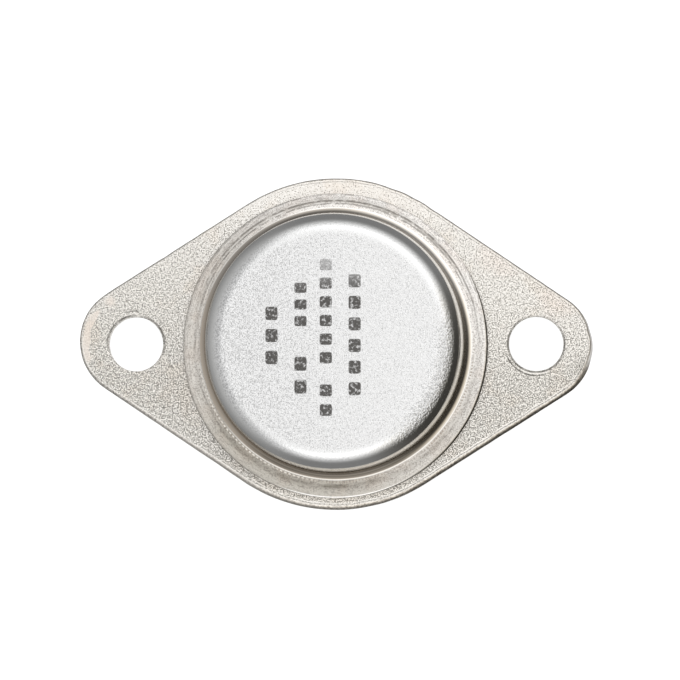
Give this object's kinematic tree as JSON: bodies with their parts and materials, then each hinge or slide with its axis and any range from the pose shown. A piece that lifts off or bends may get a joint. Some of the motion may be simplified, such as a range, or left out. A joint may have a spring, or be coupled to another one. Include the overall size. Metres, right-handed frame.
{
  "type": "power transistor",
  "caption": "Diamond-flanged metal-can power transistor: welded round cap on a drilled header plate, with glass-sealed leads below.",
  "frame": {"origin": "centre of the flat seating face under the header plate, midway between the two mounting holes", "axes": "+X along the line of the mounting holes, away from the leads' offset side; +Z from the seating face to the cap; the leads point to -Z"},
  "size_m": [0.0386, 0.025, 0.0201],
  "materials": {
    "header_plate": "satin nickel plate on stamped steel, fine etched grain",
    "cap": "fine matte nickel plate on drawn steel, smooth at the rounded edge",
    "lead": "solder-dipped nickel-iron wire",
    "seal_glass": "dark sealing glass, fire polished",
    "copper": "plain copper",
    "solder": "dull lead-tin solder",
    "silicon": "polished silicon with bright metal pads",
    "bond_wire": "bright drawn wire"
  },
  "bodies": {
    "root": {"header_plate": "header_plate", "cap": "cap", "base_lead": "lead", "emitter_lead": "lead", "base_glass_seal": "seal_glass", "emitter_glass_seal": "seal_glass", "heat_spreader": "copper", "spreader_solder": "solder", "chip_solder": "solder", "silicon_chip": "silicon", "base_bond_wire": "bond_wire", "emitter_bond_wire_1": "bond_wire", "emitter_bond_wire_2": "bond_wire"}
  },
  "joints": []
}
